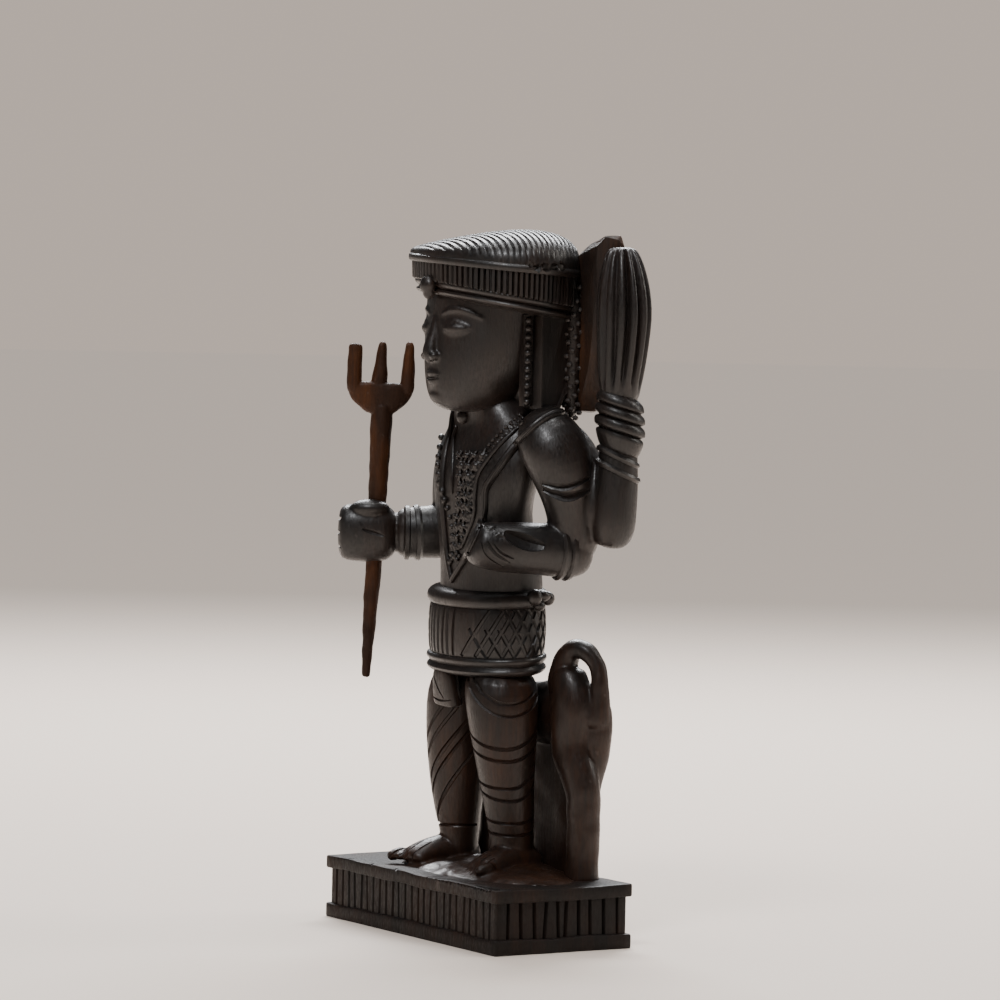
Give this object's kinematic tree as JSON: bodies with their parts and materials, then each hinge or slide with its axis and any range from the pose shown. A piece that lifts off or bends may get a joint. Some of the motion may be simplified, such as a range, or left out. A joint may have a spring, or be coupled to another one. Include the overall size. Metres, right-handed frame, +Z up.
{
  "type": "carved shiva figure",
  "caption": "Hand-carved black wood idol of Shiva as guardian, a dog behind the legs, standing on a ribbed plinth and holding a slim wooden trident in its fist.",
  "frame": {"origin": "centre of the plinth's underside", "axes": "+Z up, the figure faces -Y, the figure's own left is +X"},
  "size_m": [0.0615, 0.033, 0.1269],
  "materials": {
    "black_wood": "satin, sanded and waxed",
    "brown_wood": "satin, whittled"
  },
  "bodies": {
    "root": {"figure": "black_wood", "trident": "brown_wood"}
  },
  "joints": []
}
